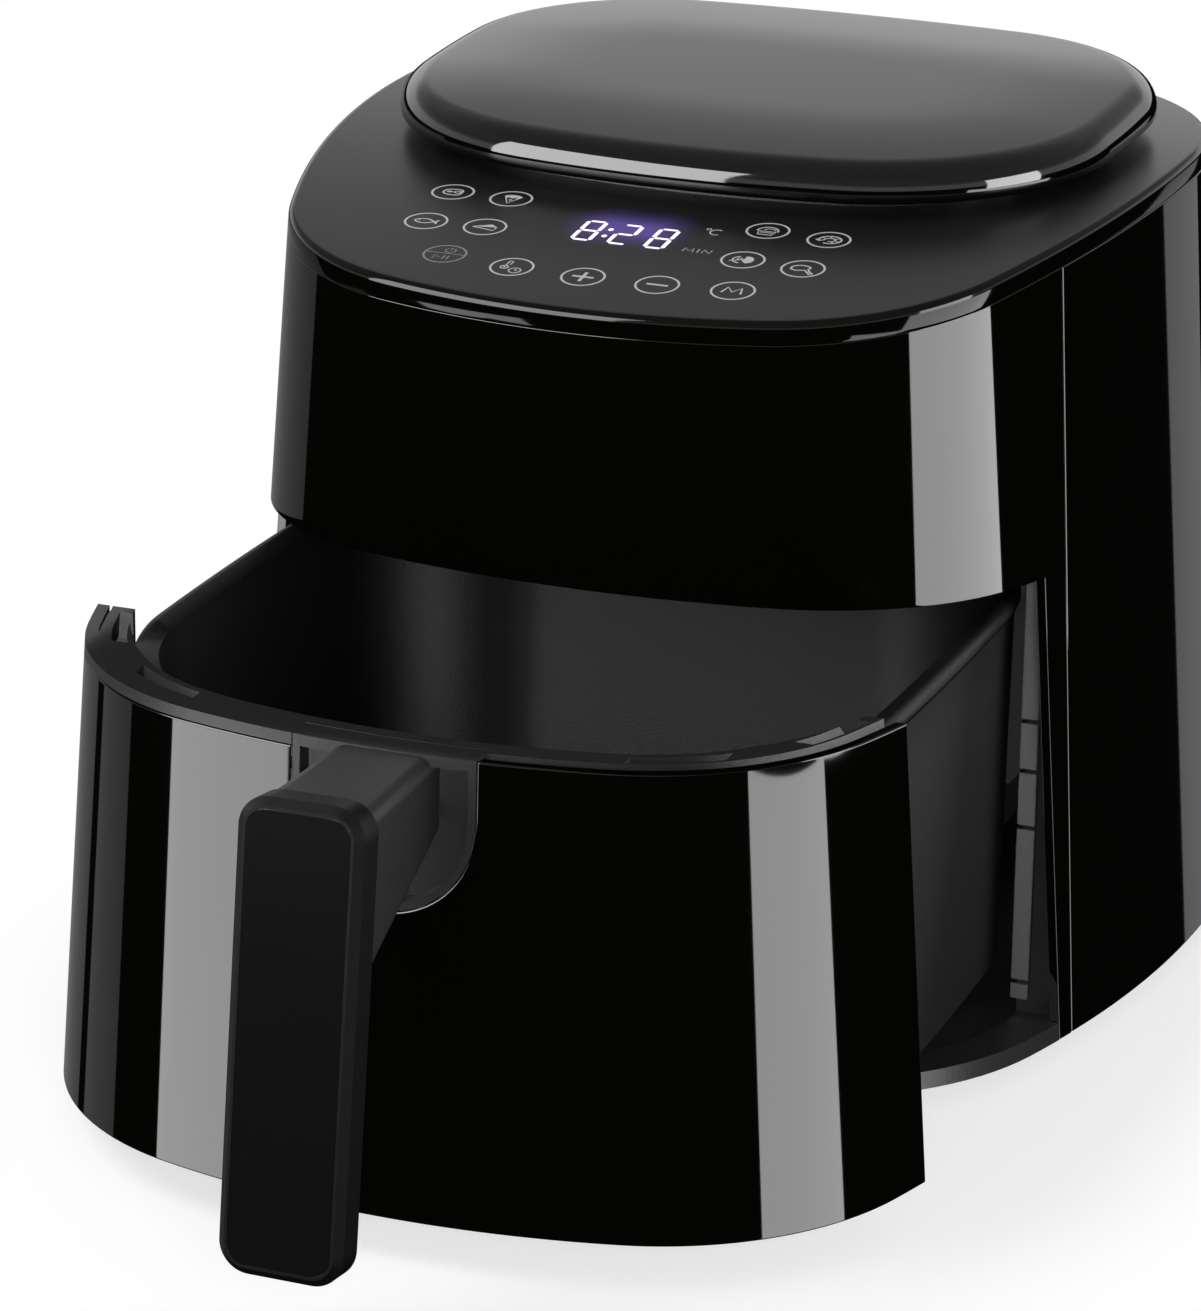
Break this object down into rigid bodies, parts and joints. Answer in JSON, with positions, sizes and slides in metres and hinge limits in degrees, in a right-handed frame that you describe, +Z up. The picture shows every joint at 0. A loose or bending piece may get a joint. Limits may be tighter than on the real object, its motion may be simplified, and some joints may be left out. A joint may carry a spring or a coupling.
{
  "type": "air fryer",
  "caption": "Countertop air fryer with a bowed housing, crowned touch panel, raised lid and a pull-out drawer that carries a pan, a lift-out crisper plate and an upright handle.",
  "frame": {"origin": "on the table plane under the middle of the object with its drawer out as at rest, in its plane of symmetry", "axes": "+X to the right when facing the front, -Y towards the front where the drawer pulls out, +Z up"},
  "size_m": [0.27, 0.465, 0.2463],
  "materials": {
    "shell_gloss": "gloss black moulding",
    "drawer_gloss": "gloss black moulding",
    "cover_gloss": "dark grey gloss cover",
    "lid_gloss": "grey gloss lid",
    "frame_matte": "fine textured dark grey",
    "handle_matte": "fine textured dark grey",
    "insert_gloss": "gloss black",
    "base_matte": "textured black",
    "liner_grey": "satin grey sheet",
    "sheet_steel": "plain sheet steel",
    "heater_tube": "dull heat-stained steel",
    "fan_alloy": "pressed sheet",
    "fan_plastic": "moulded",
    "shaft_steel": "turned",
    "motor_case": "pressed case",
    "board_green": "circuit board",
    "display_dark": "display block",
    "sensor_body": "sleeved sensor",
    "pan_coating": "dark non-stick coating",
    "foot_rubber": "plain",
    "bumper_silicone": "silicone"
  },
  "bodies": {
    "housing": {"rear_shell": "shell_gloss", "front_panel": "shell_gloss", "control_panel": "cover_gloss", "top_lid": "lid_gloss", "base": "base_matte", "air_inlet_ring": "base_matte", "cord_gland": "base_matte", "drawer_rails": "base_matte", "bay_liner": "liner_grey", "bay_ceiling": "sheet_steel", "heat_shroud": "sheet_steel", "heater_guard": "sheet_steel", "heater_clips": "sheet_steel", "motor_bracket": "sheet_steel", "heating_element": "heater_tube", "base_screws": "shaft_steel", "temperature_probe": "shaft_steel", "fan_motor": "motor_case", "touch_board": "board_green", "power_board": "board_green", "display_module": "display_dark", "thermal_fuse": "sensor_body", "drawer_switch": "sensor_body", "feet": "foot_rubber"},
    "fan": {"motor_shaft": "shaft_steel", "convection_fan": "fan_alloy", "cooling_fan": "fan_plastic", "fan_nut": "shaft_steel"},
    "drawer": {"drawer_front": "drawer_gloss", "drawer_frame": "frame_matte", "pan": "pan_coating", "handle_neck": "handle_matte", "handle_grip": "handle_matte", "handle_insert": "insert_gloss", "handle_screws": "shaft_steel", "pan_screws": "shaft_steel"},
    "crisper": {"crisper_plate": "pan_coating", "plate_bumpers": "bumper_silicone"}
  },
  "joints": [
    {"name": "fan_spin", "type": "hinge", "parent": "housing", "child": "fan", "pos_m": [0, 0.083, 0.19], "axis": [0, 0, 1], "continuous": true},
    {"name": "drawer_slide", "type": "slide", "parent": "housing", "child": "drawer", "axis": [0, -1, 0], "range_m": [-0.113, 0.05]},
    {"name": "crisper_lift", "type": "slide", "parent": "drawer", "child": "crisper", "axis": [0, 0, 1], "range_m": [0, 0.08]}
  ]
}
